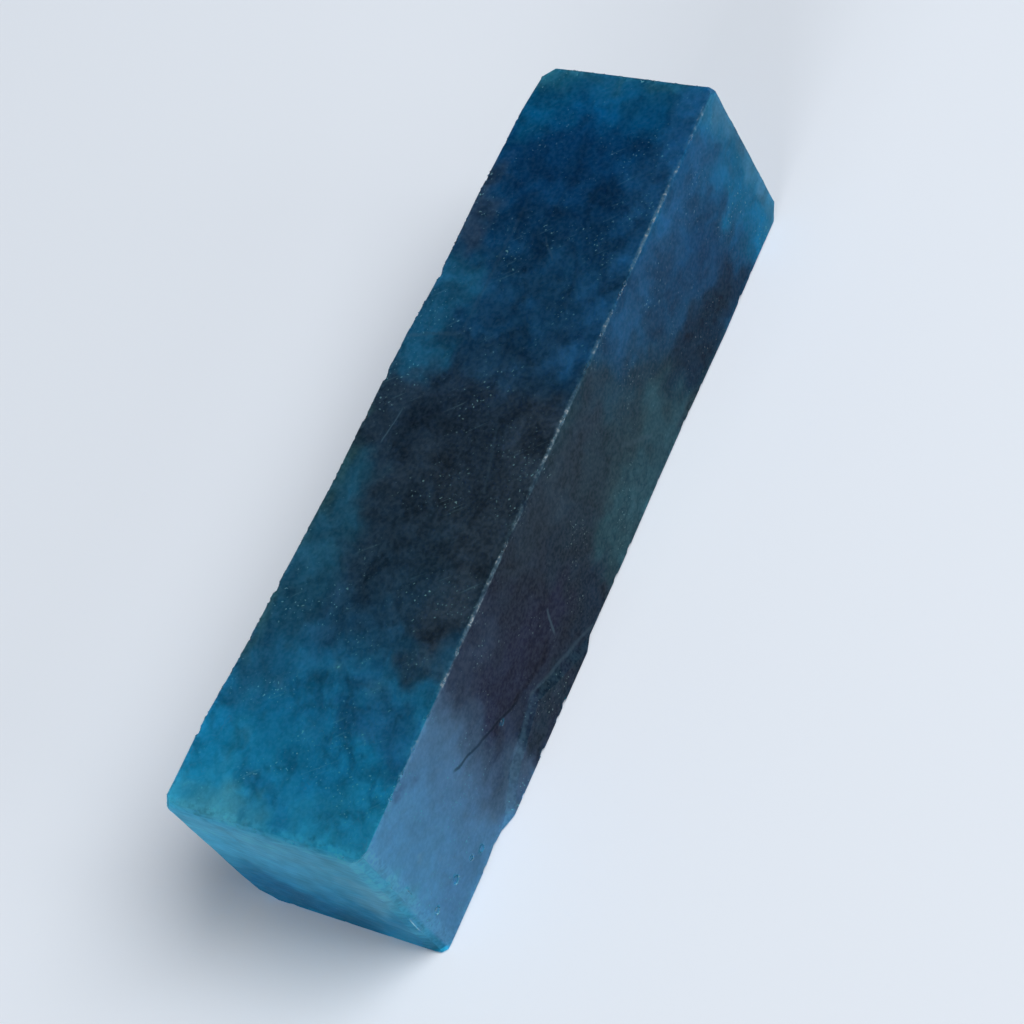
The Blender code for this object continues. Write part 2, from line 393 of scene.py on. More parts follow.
# %% Score the grid
GRID_STEP = 1.0 * MM


def lines_across(axis, start, stop):
    count = round((stop - start) / GRID_STEP)
    normal = Vector([float(k == axis) for k in range(3)])
    return [(normal * (start + (stop - start) * (number + 0.5) / count), normal) for number in range(count)]


low, high = cad_box
grid = [line for axis in range(3) for line in lines_across(axis, low[axis], high[axis])]
cut_all(bar, grid)
print("scored bar:", len(bar.data.polygons), "faces")

# %% [markdown]
# ## Nicks and pits
#
# Beryl breaks like glass, in little shells, so each nick is the bite of a faceted ball. One ball is
# made and copied. The large nicks stand where the solid model has them, and a crowd of small ones
# runs along the edges that are handled most.

# %% Set the balls along the edges
NICKED_EDGES = (
    (("top", "plain_side"), 13, 0.9, 1.9),
    (("top", "spur_side"), 7, 0.5, 0.9),
    (("base", "spur_side"), 8, 0.9, 1.6),
    (("base", "plain_side"), 7, 0.9, 1.7),
    (("base", "rubbed_end"), 3, 1.0, 1.8),
    (("top", "sharp_end"), 2, 0.6, 1.0),
)
SMALL_NICKED_EDGES = (
    (("top", "plain_side"), 24, 0.4, 0.9),
    (("top", "spur_side"), 26, 0.3, 0.6),
    (("base", "spur_side"), 18, 0.4, 1.0),
    (("base", "plain_side"), 12, 0.5, 1.0),
    (("base", "rubbed_end"), 7, 0.4, 0.9),
    (("top", "rubbed_end"), 5, 0.4, 0.8),
    (("top", "sharp_end"), 7, 0.3, 0.7),
)
PITS = (
    (-39.6, 2.6, 0.9),
    (-41.4, 3.9, 0.6),
    (-44.7, 5.1, 1.0),
    (-49.0, 6.1, 0.8),
    (-26.9, 10.2, 0.7),
)
NICK_DEPTH_RATIO = 0.18
PIT_DEPTH_RATIO = 0.3
NICK_MARGIN = 0.06
NICK_SLOT = (0.15, 0.85)
CLEAR_OF_THE_SIDE = 5 * MM
NICK_SEED = 11
SMALL_NICK_SEED = 23
ROUNDING_DEPTH_RATIO = math.sqrt(2) - 1


def new_ball():
    deselect_objects()
    bpy.ops.mesh.primitive_ico_sphere_add(subdivisions=2, radius=1)
    return bpy.context.object


def ball_biting(point, outward, width, depth, turn):
    """A copy of the ball, set over a surface so that it bites a hollow of this width and depth."""
    radius = (width ** 2 / 4 + depth ** 2) / (2 * depth)
    ball = pattern_ball.copy()
    ball.data = pattern_ball.data.copy()
    bpy.context.scene.collection.objects.link(ball)
    ball.scale = (radius, radius, radius)
    ball.rotation_euler = turn
    ball.location = point + outward * (radius - depth)
    return ball


def random_turn(chance):
    return Euler([chance.uniform(0, math.tau) for _ in range(3)])


def nick_balls(rows, seed):
    chance = random.Random(seed)
    balls = []
    for pair, count, least, greatest in rows:
        path, axis = edge_paths[pair]
        outward = (cut_plane(pair[0])[1] + cut_plane(pair[1])[1]).normalized()
        rounding = EDGE_WEAR[pair] * ROUNDING_DEPTH_RATIO
        for number in range(count):
            slot = (number + chance.uniform(*NICK_SLOT)) / count
            share = NICK_MARGIN + slot * (1 - 2 * NICK_MARGIN)
            along = path[0, axis] + share * (path[-1, axis] - path[0, axis])
            point = Vector([np.interp(along, path[:, axis], path[:, k]) for k in range(3)])
            width = chance.uniform(least, greatest) * MM
            balls.append(ball_biting(
                point - outward * rounding, outward, width, width * NICK_DEPTH_RATIO, random_turn(chance)))
    return balls


pattern_ball = new_ball()
balls = nick_balls(NICKED_EDGES, NICK_SEED) + nick_balls(SMALL_NICKED_EDGES, SMALL_NICK_SEED)
chance = random.Random(NICK_SEED)
for along, height, width in PITS:
    outside = on_spur_side(along, height) + side_outward * CLEAR_OF_THE_SIDE
    _, point, _, _ = bar.ray_cast(outside, -side_outward)
    balls.append(ball_biting(
        point, side_outward, width * MM, width * PIT_DEPTH_RATIO * MM, random_turn(chance)))
bpy.data.objects.remove(pattern_ball)
ball_count = len(balls)
cut_away(bar, balls)
print("bites:", ball_count, "- faces now:", len(bar.data.polygons))

# %% Tidy the mesh and refine it
SHORTEST_EDGE = 0.01 * MM
take_up(bar)
bpy.ops.object.mode_set(mode="EDIT")
bpy.ops.mesh.select_all(action="SELECT")
bpy.ops.mesh.remove_doubles(threshold=SHORTEST_EDGE)
bpy.ops.mesh.select_all(action="DESELECT")
bpy.ops.mesh.select_face_by_sides(number=4, type="GREATER")
bpy.ops.mesh.quads_convert_to_tris(ngon_method="BEAUTY")
bpy.ops.object.mode_set(mode="OBJECT")
refine = bar.modifiers.new("refine", "SUBSURF")
refine.subdivision_type = "SIMPLE"
refine.levels = 1
refine.render_levels = 1
apply_modifiers(bar)
print("refined bar:", len(bar.data.polygons), "faces")

# %% [markdown]
# ## The uneven skin
#
# Hand grinding leaves a face that is flat to the eye but not to the light: it rolls by a tenth or two
# of a millimetre. Bump could shade that, but the outline would stay ruler-straight, so the points are
# really moved. All moves go inward from the saw cuts, and the face that it rests on stays flat.

# %% Note how far each point is from a worn edge, while the faces still show which is which
FLAT_WITHIN = math.cos(math.radians(9))
EDGE_REACH = 6.0


def note_edge_distance(piece):
    """A point attribute: the distance in mm to the nearest rounded edge, chip or nick."""
    mesh = piece.data
    _, likeness = cut_of_faces(mesh)
    places = np.zeros(len(mesh.vertices) * 3)
    mesh.vertices.foreach_get("co", places)
    places = places.reshape(-1, 3)
    worn_faces = [face for face in mesh.polygons if likeness[face.index] < FLAT_WITHIN]
    worn = {number for face in worn_faces for number in face.vertices}
    tree = KDTree(len(worn))
    for number in worn:
        tree.insert(places[number], number)
    tree.balance()
    distances = [min(tree.find(place)[2] / MM, EDGE_REACH) for place in places]
    layer = mesh.attributes.new("edge_distance", "FLOAT", "POINT")
    layer.data.foreach_set("value", distances)
    return len(worn)


print("points on worn edges:", note_edge_distance(bar))

# %% Roll the faces, all but the base
ROLLS = (("long rolls", 9.0, 0.16), ("short rolls", 2.6, 0.07))
BASE_FREE_HEIGHT = 0.8 * MM
SMOOTH_WITHIN = math.radians(28)
free = bar.vertex_groups.new(name="free to roll")
for point in bar.data.vertices:
    free.add([point.index], min(max(point.co.z / BASE_FREE_HEIGHT, 0.0), 1.0), "REPLACE")
for name, size, depth in ROLLS:
    texture = bpy.data.textures.new(name, "CLOUDS")
    texture.noise_scale = size * MM
    texture.noise_depth = 2
    roll = bar.modifiers.new(name, "DISPLACE")
    roll.texture = texture
    roll.texture_coords = "LOCAL"
    roll.vertex_group = free.name
    roll.strength = depth * MM
    roll.mid_level = 1.0
apply_modifiers(bar)
bar.vertex_groups.clear()
take_up(bar)
bpy.ops.object.shade_smooth_by_angle(angle=SMOOTH_WITHIN)
print("rolled bar spans", [round(side / MM, 2) for side in bar.dimensions], "mm")

# %% [markdown]
# ## Floor and lights
#
# The bar lies on pale paper. A window high on the right throws its one soft shadow to the left, and two
# white cards stand low on the left and in front: they light the faces that the window misses and hardly
# touch the paper, so that the shadow stays deep at the foot of the stone. The sky is kept dim, because a
# bright one would lay a grey haze over the dark top.

# %% Floor
FLOOR_GAP = 0.15 * MM
FLOOR_THICKNESS = 10 * MM
FLOOR_SIDE = 3.0
PAPER_COLOUR = (0.79, 0.82, 0.86, 1)
PAPER_ROUGHNESS = 0.7
PAPER_SHINE = 0.2
floor_middle = (0, 0, -FLOOR_GAP - FLOOR_THICKNESS / 2)
floor = add_block("floor", floor_middle, (FLOOR_SIDE, FLOOR_SIDE, FLOOR_THICKNESS))
paper = bpy.data.materials.new("pale paper")
paper.use_nodes = True
paper_shader = paper.node_tree.nodes["Principled BSDF"]
paper_shader.inputs["Base Color"].default_value = PAPER_COLOUR
paper_shader.inputs["Roughness"].default_value = PAPER_ROUGHNESS
paper_shader.inputs["Specular IOR Level"].default_value = PAPER_SHINE
floor.data.materials.append(paper)

# %% Sky and lamps: the way to each lamp, its distance and side in metres, and its power in watts
SKY_STRENGTH = 0.1
SKY_COLOUR = (0.86, 0.92, 1.0, 1)
LAMP_COLOUR = (0.93, 0.96, 1.0)
LAMPS = (
    ("window", (0.32, -0.52, 0.8), 2.5, 1.7, 66),
    ("left card", (-0.96, -0.15, 0.2), 2.5, 1.2, 46),
    ("front card", (0.0, -0.95, 0.22), 2.5, 1.2, 10),
)
world = bpy.data.worlds.new("studio")
bpy.context.scene.world = world
world.use_nodes = True
sky = world.node_tree.nodes["Background"]
sky.inputs["Color"].default_value = SKY_COLOUR
sky.inputs["Strength"].default_value = SKY_STRENGTH
for name, toward, distance, side, power in LAMPS:
    direction = Vector(toward).normalized()
    lamp = bpy.data.lights.new(name, "AREA")
    lamp.size = side
    lamp.energy = power
    lamp.color = LAMP_COLOUR
    holder = bpy.data.objects.new(name, lamp)
    bpy.context.scene.collection.objects.link(holder)
    holder.location = direction * distance
    holder.rotation_euler = direction.to_track_quat("Z", "Y").to_euler()
print("lamps:", [row[0] for row in LAMPS])

# %% [markdown]
# ## Camera
#
# It looks down on the bar from the rubbed end's side, along the spur side, and is rolled so that the
# bar stands up in the picture. It could stand farther off with a longer lens, but close to, the near
# end looks plainly larger than the far one, and the eye reads how long the bar is.

# %% Camera: what it aims at, how far off it is, and how it is turned
AIM = Vector((-2.257, -3.374, 12.691)) * MM
CAMERA_DISTANCE = 335.316 * MM
ELEVATION = math.radians(50.779)
AZIMUTH = math.radians(32.402)
ROLL = math.radians(-37.905)
LENS = 100
FILM_WIDTH = 36
toward_camera = Vector((
    -math.sin(AZIMUTH) * math.cos(ELEVATION), -math.cos(AZIMUTH) * math.cos(ELEVATION), math.sin(ELEVATION)))
camera = bpy.data.cameras.new("camera")
camera.lens = LENS
camera.sensor_width = FILM_WIDTH
camera.clip_start = 10 * MM
camera_holder = bpy.data.objects.new("camera", camera)
bpy.context.scene.collection.objects.link(camera_holder)
level = (-toward_camera).to_track_quat("-Z", "Y")
camera_holder.rotation_euler = (level @ Quaternion((0, 0, 1), ROLL)).to_euler()
camera_holder.location = AIM + toward_camera * CAMERA_DISTANCE
bpy.context.scene.camera = camera_holder
bpy.context.scene.view_settings.view_transform = "Standard"
print("camera", round(CAMERA_DISTANCE / MM), "mm from its aim, through a", LENS, "mm lens")

# %% [markdown]
# ## Where the colours lie in the stone
#
# Beryl grows in zones, and this bar runs from sea-blue at the rubbed end through smoky slate to deep
# blue. A picture wrapped round the bar would show seams at its edges. Here the colours are laid out in
# space instead: growth zones along the bar, with clouds brushed over them. On the spur side and the
# rubbed end they also carry painted reflection and painted shade. They are all soft, so they are
# worked out once for each point of the skin and kept as a colour attribute. The shader then only
# has to add the fine detail, which keeps a render quick.

# %% Helpers: soft borders, zones and brush strokes
def soft_step(values, start, stop):
    """0 before start and 1 after stop, with a soft rise between. Start may lie above stop."""
    share = np.clip((values - start) / (stop - start), 0, 1)
    return share * share * (3 - 2 * share)


def colours_along(values, zones):
    """For each value, the colour between the two zones that it lies between."""
    middles, tints = zip(*zones)
    return np.stack([np.interp(values, middles, channel) for channel in zip(*tints)], axis=1)


def brush(colours, places, strokes):
    """Lay soft strokes of other colours over the points near them. A row's name is for the reader."""
    for _, start, end, reach, softness, tint, strength in strokes:
        start = np.array(start)
        run = np.array(end) - start
        share = np.clip((places - start) @ run / (run @ run), 0, 1)
        off = np.linalg.norm(places - start - share[:, None] * run, axis=1) / reach
        amount = strength * soft_step(off, 1.0, 1.0 - softness)
        colours += amount[:, None] * (np.array(tint) - colours)


SCREEN_GAMMA = 2.2


def screen_values(channels):
    """Screen colours, 0 to 255, as values that a gamma of 2.2 turns into light."""
    parts = np.clip(channels, 0, 255) / 255
    light = np.where(parts <= 0.04045, parts / 12.92, ((parts + 0.055) / 1.055) ** 2.4)
    return light ** (1 / SCREEN_GAMMA)


def paint(red, green, blue):
    """One screen colour, 0 to 255, for mixing with the stone's own."""
    return (*screen_values(np.array((red, green, blue))), 1.0)


# %% Growth zones: where on the way through the stone each colour is purest, in mm
GROWTH = (
    (-50, (62, 206, 240)), (-43, (44, 186, 228)), (-37, (43, 168, 212)), (-31, (52, 158, 204)),
    (-25, (54, 110, 144)), (-19, (56, 88, 110)), (-6, (60, 80, 96)), (5, (58, 82, 101)),
    (9, (51, 94, 123)), (15, (40, 101, 142)), (22, (40, 101, 141)), (28, (28, 88, 130)),
    (36, (20, 82, 126)), (42, (14, 88, 138)), (46, (12, 110, 162)), (51, (34, 120, 160)),
)
# The spur side's ramp is the stone's tint with painted reflection in it: pale towards the rubbed end, a
# painted reflection of the pale floor, and dark in the middle, a painted dark reflection.
SPUR_SIDE_TINT_AND_REFLECTION = (
    (-50, (118, 206, 249)), (-42, (118, 195, 240)), (-36, (116, 177, 219)), (-32, (104, 147, 182)),
    (-27.5, (62, 80, 108)), (-16, (42, 56, 80)), (-6, (40, 66, 86)), (3, (54, 86, 100)),
    (14, (47, 84, 95)), (20, (41, 88, 108)), (24, (28, 100, 140)), (30, (18, 97, 142)),
    (38, (10, 94, 142)), (42, (10, 112, 162)), (46, (24, 142, 192)), (51, (76, 170, 208)),
)
# The rubbed end's ramp runs by height: painted shade darkens its foot, and painted reflection and glow pale
# its upper part, over the stone's own teal.
RUBBED_END_TINT_AND_SHADING = (
    (1.5, (0, 120, 152)), (6, (16, 148, 184)), (10.5, (62, 190, 224)), (15, (92, 216, 248)),
    (24, (98, 218, 250)),
)

# %% Strokes: name, start and end in mm, reach in mm, softness, colour, strength
TOP_STROKES = (
    ("teal margin", (-34, 11, 25), (-8, 11, 25), 6.0, 0.7, (54, 128, 158), 0.85),
    ("teal patch", (10, 10, 25), (21, 10, 25), 5.0, 0.45, (50, 134, 172), 0.95),
    ("dark margin", (27, 12, 25), (35, 12, 25), 4.0, 0.7, (74, 96, 120), 0.8),
    ("teal corner", (43, 10, 25), (48, 10, 25), 5.0, 0.6, (14, 112, 154), 0.8),
    ("pale sharp rim", (51.5, -8, 25), (51.5, 8, 25), 2.0, 0.7, (60, 146, 172), 0.6),
    ("green corner", (50.5, 11.5, 25), (51.5, 8, 25), 3.6, 0.9, (96, 178, 186), 0.6),
    ("smoky ridge", (-27, -10, 25), (4, -10, 25), 5.0, 0.8, (72, 92, 108), 0.9),
    ("blue ridge", (12, -11, 25), (48, -11, 25), 5.5, 0.8, (46, 116, 166), 0.95),
    ("near glow", (-44, -3, 25), (-39, -8, 25), 4.0, 0.8, (46, 200, 252), 0.5),
    ("dim bay", (-38, -12, 25), (-33, -4, 25), 4.0, 0.8, (58, 140, 190), 0.5),
    ("dim bay", (-49, -1, 25), (-46, 5, 25), 2.2, 0.8, (44, 168, 214), 0.5),
    ("pale corner", (-51, 12, 25), (-51, 4, 25), 4.5, 0.9, (120, 226, 236), 0.8),
    ("greenish rim", (-33, 13.4, 25), (4, 13.4, 25), 2.2, 0.9, (80, 128, 128), 0.65),
    ("healed crack", (-29.5, 12, 25), (-29.5, -6, 25), 0.9, 0.9, (30, 112, 158), 0.4),
    ("dark knot", (24, 3, 25), (27, 1.5, 25), 2.2, 0.8, (20, 68, 102), 0.6),
    ("coal", (-4, 8, 25), (6, 2, 25), 4.0, 0.8, (48, 70, 88), 0.6),
    ("lit bay", (8, -4, 25), (14, -8, 25), 3.5, 0.8, (56, 108, 146), 0.5),
    ("grey smoke", (-10, -5, 25), (-2, 1, 25), 3.0, 0.9, (74, 92, 106), 0.4),
    ("grey smoke", (8, 8, 25), (6, -2, 25), 2.2, 0.9, (64, 90, 112), 0.4),
    ("sea bay", (-37, 9, 25), (-46, 8, 25), 3.0, 0.9, (64, 190, 216), 0.4),
)
SPUR_SIDE_STROKES = (
    ("grey shelf", (-12, -13, 22), (8, -13, 20), 6.0, 0.8, (58, 82, 98), 0.8),
    # painted dark reflection in the middle of the spur side
    ("dark violet reflection", (-25, -13, 13), (-12, -13, 11), 6.0, 0.7, (42, 50, 80), 0.8),
    ("dusk", (-26, -13, 22), (-20, -13, 22), 4.0, 0.8, (66, 88, 116), 0.8),
    ("step shade", (-13, -13, 24), (-8, -13, 17), 1.8, 0.8, (40, 58, 78), 0.5),
    # painted green reflection in the middle of the spur side
    ("green reflection", (1, -13, 4.5), (19, -13, 5), 6.5, 0.45, (62, 118, 131), 0.95),
    ("high green reflection", (6, -13, 10), (14, -13, 10), 4.0, 0.8, (62, 104, 112), 0.6),
    ("dark foot", (25, -13, 5), (37, -13, 4), 6.5, 0.7, (0, 56, 84), 0.95),
    ("blue shoulder", (20, -13, 21), (43, -13, 22), 6.0, 0.8, (42, 122, 172), 0.8),
    ("bright band", (46.5, -13, 2), (46.5, -13, 13), 4.2, 0.5, (0, 146, 196), 0.9),
    ("pale sharp rim", (51, -13, 6), (51, -13, 23), 3.0, 0.8, (92, 162, 200), 0.6),
    ("lit foot", (-34, -13, 3), (-29, -13, 4), 4.2, 0.8, (104, 142, 168), 0.8),
    ("crack shade", (-27, -13, 10), (-17, -13, 7.8), 1.6, 0.9, (20, 26, 44), 0.8),
    ("spur face", (-24, -13.6, 3), (-14, -13.6, 2.5), 3.0, 0.6, (34, 66, 84), 0.7),
    ("dark hollow", (-9, -13, 3), (-4, -13, 4), 4.0, 0.8, (26, 56, 82), 0.7),
    ("smudge", (-42, -13, 24), (-41, -13, 22.5), 1.6, 0.9, (84, 130, 176), 0.7),
    ("smudge", (-46, -13, 4), (-43, -13, 5), 1.8, 0.9, (92, 158, 204), 0.6),
    ("sea rim", (-51, -13, 12), (-51, -13, 23), 2.5, 0.9, (110, 220, 240), 0.6),
    # painted reflection of the pale floor, low at the rubbed end of the spur side
    ("pale reflected foot", (-51, -13, 3), (-42, -13, 3), 5.0, 0.8, (112, 180, 222), 0.8),
)
RUBBED_END_STROKES = (
    ("bright foot", (-52, -10, 5), (-52, -9, 3), 6.0, 0.8, (60, 184, 222), 0.7),
    ("milky corner", (-52, -10, 16), (-52, -9, 8), 3.5, 0.8, (140, 226, 246), 0.6),
    ("milky band", (-52, 9, 21), (-52, -6, 20), 3.0, 0.8, (116, 224, 250), 0.5),
    ("teal shade", (-52, 10, 8), (-52, 3, 5), 5.5, 0.8, (4, 128, 166), 0.7),
)

# %% The points of the skin, and how they are nudged so that nothing comes out ruler-straight
WANDER_SIZE = 5.0
WANDER_AMOUNT = 2.4
TREMBLE_SIZE = 2.0
TREMBLE_AMOUNT = 0.8
NUDGE_ORIGINS = (0.0, 312.7, 473.9)
SWELL_FALLOFF = 0.8
SWELL_RATIO = 2.0
SWELL_OCTAVES = 3
SIDE_BEGINS = (-0.55, -0.85)
END_BEGINS = (-0.5, -0.9)


def point_values(piece, what):
    values = np.zeros(len(piece.data.vertices) * 3)
    piece.data.vertices.foreach_get(what, values)
    return values.reshape(-1, 3)


def noise_at(places, size):
    """Smooth noise, roughly -1 to 1, whose largest swells have this size, in mm."""
    swells = (SWELL_FALLOFF, SWELL_RATIO, SWELL_OCTAVES)
    return np.array([noise.fractal(place, *swells) for place in (places / size).tolist()])


def nudged(places, size, amount):
    """The places pushed about by smooth noise whose swells have this size, in mm."""
    pushes = [noise_at(places + apart, size) for apart in NUDGE_ORIGINS]
    return places + amount * np.stack(pushes, axis=1)


places = point_values(bar, "co") / MM
facing = point_values(bar, "normal")
ragged = nudged(places, WANDER_SIZE, WANDER_AMOUNT)
trembled = nudged(places, TREMBLE_SIZE, TREMBLE_AMOUNT)
on_side = soft_step(facing[:, 1], *SIDE_BEGINS)
on_end = soft_step(facing[:, 0], *END_BEGINS)
nudges = [round(float(np.abs(moved - places).max()), 1) for moved in (ragged, trembled)]
print("nudged by up to", nudges, "mm")

# %% Lay the zones and the strokes over the points
LEAN = 0.8
LEAN_STARTS = (-5, 12)
LEAN_ENDS = (42, 32)
MIDDLE_HEIGHT = 12.0
along, across, height = ragged.T
lean_share = soft_step(along, *LEAN_STARTS) * soft_step(along, *LEAN_ENDS)
leaning = along + LEAN * lean_share * (height - MIDDLE_HEIGHT)
colours = colours_along(along, GROWTH)
brush(colours, ragged, TOP_STROKES)
spur_side_tint_and_reflection = colours_along(leaning, SPUR_SIDE_TINT_AND_REFLECTION)
brush(spur_side_tint_and_reflection, ragged, SPUR_SIDE_STROKES)
rubbed_end_tint_and_shading = colours_along(height, RUBBED_END_TINT_AND_SHADING)
brush(rubbed_end_tint_and_shading, ragged, RUBBED_END_STROKES)
# The spur side and the rubbed end take their own ramps, with their painted reflection and shade.
colours += on_side[:, None] * (spur_side_tint_and_reflection - colours)
colours += on_end[:, None] * (rubbed_end_tint_and_shading - colours)

# %% Mottle them: clouds everywhere, and rounded cells with dark seams at the rubbed end
CLOUD_SIZE = 3.6
CLOUD_DEPTH = 0.28
CELL_SIZE = 2.7
CELL_DEPTH = 0.22
CELL_EVEN = 0.4
CELLS_ONLY_ON_TOP = 0.7
SEAM_WIDTH = 0.22
SEAM_DEPTH = 0.14
SEAM_PATCH_SIZE = 6.0
SEAM_PATCH = (-0.1, 0.3)
NEAR_END = (-22, -40)
CALM_NEAR = 0.75
CALM_SIDE = 0.25
CALM_END = 0.55
clouds = np.clip(noise_at(ragged, CLOUD_SIZE), -1, 1)
nearest_two = np.array([noise.voronoi(place)[0][:2] for place in (trembled / CELL_SIZE).tolist()])
seams = soft_step(nearest_two[:, 1] - nearest_two[:, 0], SEAM_WIDTH, 0.0)
seams *= soft_step(noise_at(places, SEAM_PATCH_SIZE), *SEAM_PATCH)
toward_near = soft_step(along, *NEAR_END)
near_end = toward_near * (1 - CELLS_ONLY_ON_TOP * np.maximum(on_side, on_end))
calmness = np.maximum.reduce([CALM_NEAR * toward_near, CALM_SIDE * on_side, CALM_END * on_end])
light = 1 + CLOUD_DEPTH * clouds * (1 - calmness)
light += near_end * (CELL_DEPTH * (CELL_EVEN - nearest_two[:, 0]) - SEAM_DEPTH * seams)
colours *= light[:, None]
print("mottling swings the light from", light.min().round(2), "to", light.max().round(2))

# %% Milky spots, where little healed bubbles crowd: face, place in mm, reach in mm, how crowded
MILK = (210, 240, 240)
MILKINESS = 0.14
MILK_CORE = 0.2
MILKY_STRETCH = (0, -20)
MILKY_SPOTS = (
    ("top", (-49.0, 11.5, 25), 1.3, 1.0),
    ("top", (-44.5, 9.0, 25), 1.4, 0.6),
    ("top", (-45.5, 4.7, 25), 1.6, 0.5),
    ("top", (-41.0, 7.6, 25), 1.6, 0.7),
    ("top", (-34.6, 6.3, 25), 1.5, 1.0),
    ("top", (-39.0, 0.0, 25), 2.0, 0.5),
    ("top", (-31.0, 0.3, 25), 1.2, 1.4),
    ("top", (-32.0, -5.6, 25), 2.2, 0.9),
    ("top", (-37.5, -7.0, 25), 1.3, 0.6),
    ("top", (-24.0, -10.6, 25), 0.7, 1.2),
    ("top", (-9.0, -4.0, 25), 3.0, 0.5),
    ("top", (2.5, 0.0, 25), 5.0, 0.5),
    ("top", (30.0, -8.0, 25), 6.0, 0.4),
    ("top", (48.3, -3.5, 25), 0.5, 1.5),
    ("spur_side", (-46.0, -13, 14.0), 0.6, 1.5),
    ("spur_side", (-27.5, -13, 5.5), 0.5, 1.2),
    ("spur_side", (-19.0, -13, 23.7), 0.5, 1.2),
    ("spur_side", (17.0, -13, 17.5), 3.0, 0.5),
    ("spur_side", (24.0, -13, 20.0), 4.0, 0.4),
)


def on_face(cut, place):
    """A place in mm, slid onto the saw cut that it lies near."""
    point, outward = cut_plane(cut)
    place = Vector(place) * MM
    return np.array(place - outward * (place - point).dot(outward)) / MM


crowds = np.zeros(len(places))
for cut, spot, reach, crowd in MILKY_SPOTS:
    off = np.linalg.norm(trembled - on_face(cut, spot), axis=1) / reach
    crowds = np.maximum(crowds, crowd * soft_step(off, 1.0, MILK_CORE))
milk_share = MILKINESS * (crowds * soft_step(along, *MILKY_STRETCH))
colours += milk_share[:, None] * (np.array(MILK) - colours)
layer = bar.data.color_attributes.new("stone_colour", "FLOAT_COLOR", "POINT")
opaque = np.ones((len(colours), 1))
layer.data.foreach_set("color", np.hstack([screen_values(colours), opaque]).ravel())
print("darkest and brightest stone colours:", colours.min(axis=0).round(), colours.max(axis=0).round())

# %% [markdown]
# ## Where the fine detail goes
#
# Veins and flecks are finer than the mesh, so the shader has to draw them. What it needs to know is
# soft, though, and can ride on the points as well: how far across the nearest vein a point lies, and how
# strongly each kind of detail shows there. A distance runs evenly from point to point, so a vein drawn
# from it is sharp however wide the mesh is.

# %% Veins, cracks and the painted highlight on the spur's rim: name, face, start and end in mm, width in mm, how dark and how pale they are
VEINS = (
    ("crack", "spur_side", (-24.0, -13.2, 9.3), (-35.4, -13.2, 15.0), 0.3, 0.5, 0.0),
    # the pale lines along the spur's rim are a painted highlight on its sloping walls
    ("highlight on the spur rim", "spur_side", (-33.0, -13.6, 2.0), (-21.6, -13.6, 6.8), 0.5, 0.0, 0.3),
    ("highlight on the spur rim", "spur_side", (-21.6, -13.6, 6.8), (-9.0, -13.4, 0.6), 0.45, 0.0, 0.5),
    ("streak", "spur_side", (-12.7, -13.0, 11.0), (-13.8, -13.0, 7.9), 0.3, 0.0, 0.8),
    ("streak", "spur_side", (10.0, -12.6, 11.0), (14.5, -12.6, 6.0), 0.5, 0.0, 0.3),
    ("healed line", "top", (11.6, 12.8, 25.6), (13.2, 5.6, 25.6), 0.4, 0.0, 0.3),
    ("healed line", "top", (13.2, 5.6, 25.6), (31.0, 5.4, 25.6), 0.4, 0.0, 0.18),
    ("scratch", "top", (-2.4, 9.0, 25.5), (1.6, 8.4, 25.5), 0.16, 0.0, 0.9),
    ("scratch", "top", (2.2, -5.0, 25.5), (-6.0, -7.4, 25.5), 0.25, 0.0, 0.25),
    ("scratch", "top", (25.0, -1.5, 25.5), (27.5, 0.4, 25.5), 0.2, 0.0, 0.35),
)
VEIN_REACH = 2.0
VEIN_TAPER = 0.7
SHAKE = 0.25

shaken = places + SHAKE * (trembled - places)
vein_map = np.zeros((len(places), 3))
nearest = np.full(len(places), VEIN_REACH)
for _, cut, start, end, width, dark, pale in VEINS:
    run = np.array(end) - np.array(start)
    length = np.linalg.norm(run)
    outward = np.array(cut_plane(cut)[1])
    gone = shaken - np.array(start)
    sideways = gone @ np.cross(outward, run) / length
    ahead = gone @ run / length
    overshoot = np.maximum(np.maximum(-ahead, ahead - length), 0)
    distance = np.sqrt(sideways ** 2 + overshoot ** 2 + (gone @ outward) ** 2)
    share = soft_step(distance, VEIN_REACH, VEIN_REACH / 2) * soft_step(overshoot, VEIN_TAPER, 0.0)
    closer = distance < nearest
    nearest[closer] = distance[closer]
    vein_map[closer] = np.stack([sideways / width, share * dark, share * pale], axis=1)[closer]
layer = bar.data.attributes.new("vein_map", "FLOAT_VECTOR", "POINT")
layer.data.foreach_set("vector", vein_map.ravel())
print("points near a vein:", int((nearest < VEIN_REACH).sum()))

# %% Shares of the other details, four to one attribute: threads, wisps, ridge and flecks
RIDGE_REACH = 0.9
RIDGE_STARTS = (-46, -24)
RIDGE_PATCH = (-0.6, 0.3)
WISP_PATCH = (0.0, 0.35)
PATCH_SIZE = 5.0
FLECK_PATCH_SIZE = 6.0
FLECK_PATCH_SHIFT = 40.0
FLECK_PATCH = (-0.5, 0.7)
FLECKS_LOST_ON_END = 0.5
CELL_THREADS = 0.3
CLEAR_OF_THE_END = (-51, -49)
BARK_STROKE = (("bark", (-1, -13, 5), (8, -13, 4.5), 5.5, 0.6, (1, 1, 1), 1.0),)


def distance_from_line(places, start, end):
    run = (end - start) / np.linalg.norm(end - start)
    gone = places - start
    return np.linalg.norm(gone - (gone @ run)[:, None] * run, axis=1)


